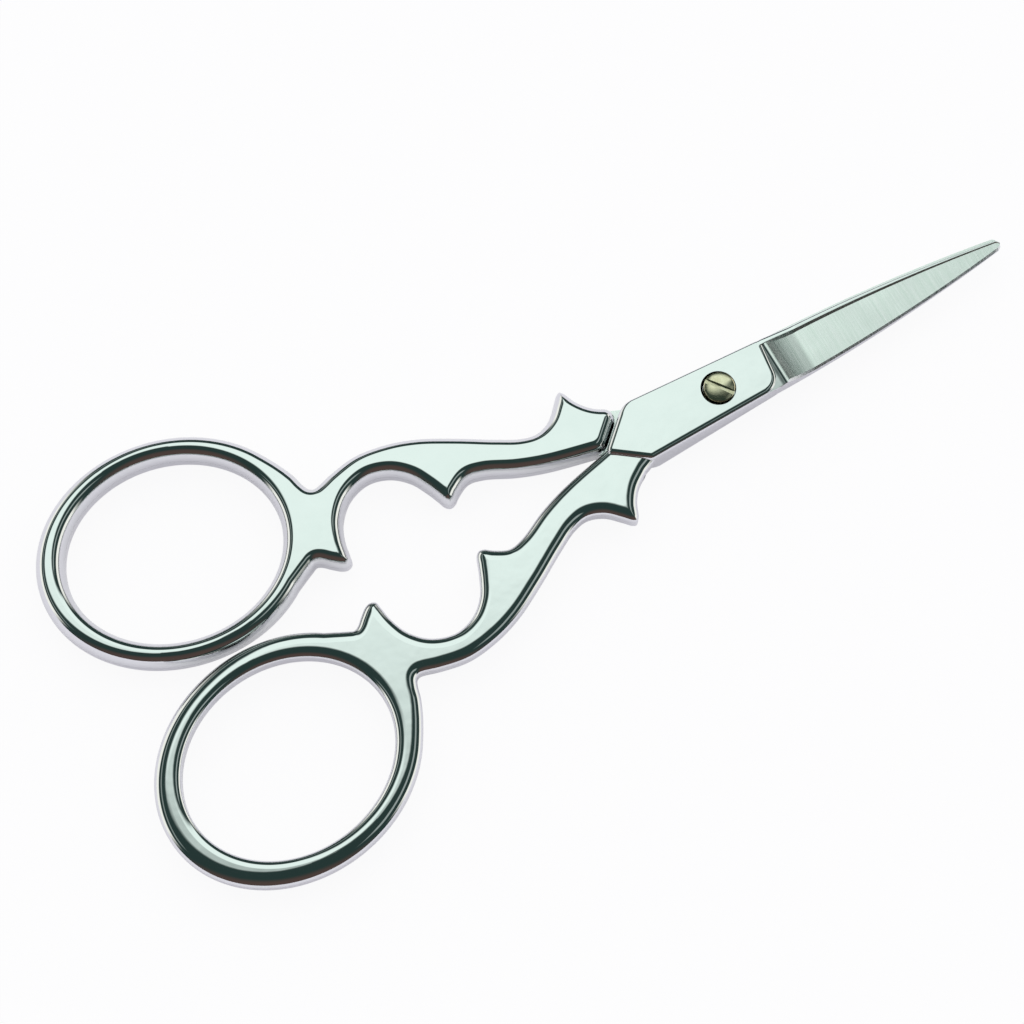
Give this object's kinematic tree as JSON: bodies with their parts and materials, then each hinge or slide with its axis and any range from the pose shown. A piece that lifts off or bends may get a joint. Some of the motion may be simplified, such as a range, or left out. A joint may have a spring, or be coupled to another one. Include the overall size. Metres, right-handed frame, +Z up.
{
  "type": "embroidery scissors",
  "caption": "Small pointed embroidery scissors with spurred scroll handles and oval finger rings; forged halves turn on a slotted pivot screw to snip thread.",
  "frame": {"origin": "under the middle of the closed pair, on the surface it lies on", "axes": "+X from the finger rings to the points, +Z up out of the face that shows the screw head"},
  "size_m": [0.1029, 0.048, 0.0045],
  "materials": {
    "polished_chrome": "mirror-polished chrome plate on forged steel, with cross-ground satin blades",
    "nickel_screw": "turned nickel-plated steel, slightly warm and a little dull"
  },
  "bodies": {
    "screwed_half": {"bottom_half": "polished_chrome", "pivot_screw": "nickel_screw"},
    "turning_half": {"top_half": "polished_chrome"}
  },
  "joints": [
    {"name": "blade_pivot", "type": "hinge", "parent": "screwed_half", "child": "turning_half", "pos_m": [0.01806, 0, 0.00215], "axis": [0, 0, 1], "range_deg": [0, 140]}
  ]
}
